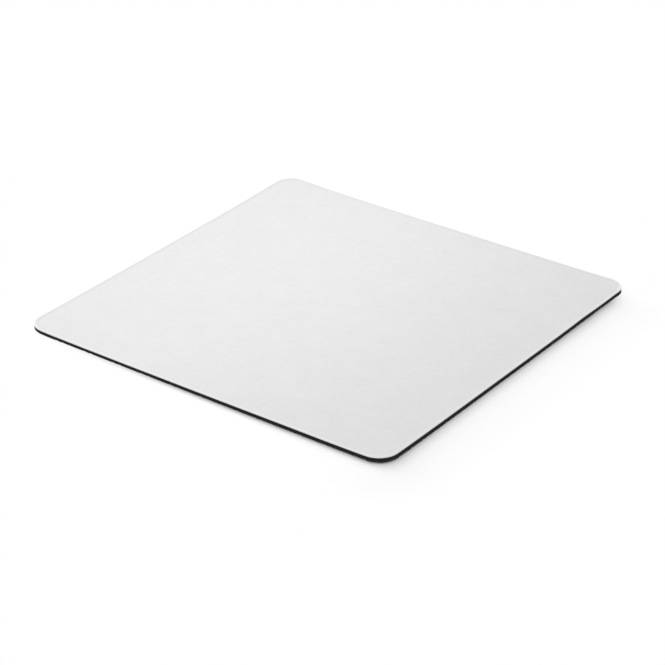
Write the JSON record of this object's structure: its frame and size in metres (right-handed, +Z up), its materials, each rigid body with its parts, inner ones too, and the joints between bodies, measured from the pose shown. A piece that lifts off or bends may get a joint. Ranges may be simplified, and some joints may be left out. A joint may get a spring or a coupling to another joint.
{
  "type": "mouse pad",
  "caption": "Flat mouse pad with rounded corners: a knitted fabric face bonded to a thin foam rubber base that is embossed underneath for grip.",
  "frame": {"origin": "centre of the underside, on the surface that the pad lies on", "axes": "+X along the longer side, +Y along the shorter side, +Z up, out of the fabric face"},
  "size_m": [0.24, 0.232, 0.0032],
  "materials": {
    "foam_rubber": "matte closed foam skin, open pores at the cut edge",
    "film": "milky hot-melt film, shown only as a hairline at the cut edge",
    "knit": "matte fine polyester knit, white"
  },
  "bodies": {
    "root": {"rubber_base": "foam_rubber", "bonding_film": "film", "fabric_face": "knit"}
  },
  "joints": []
}
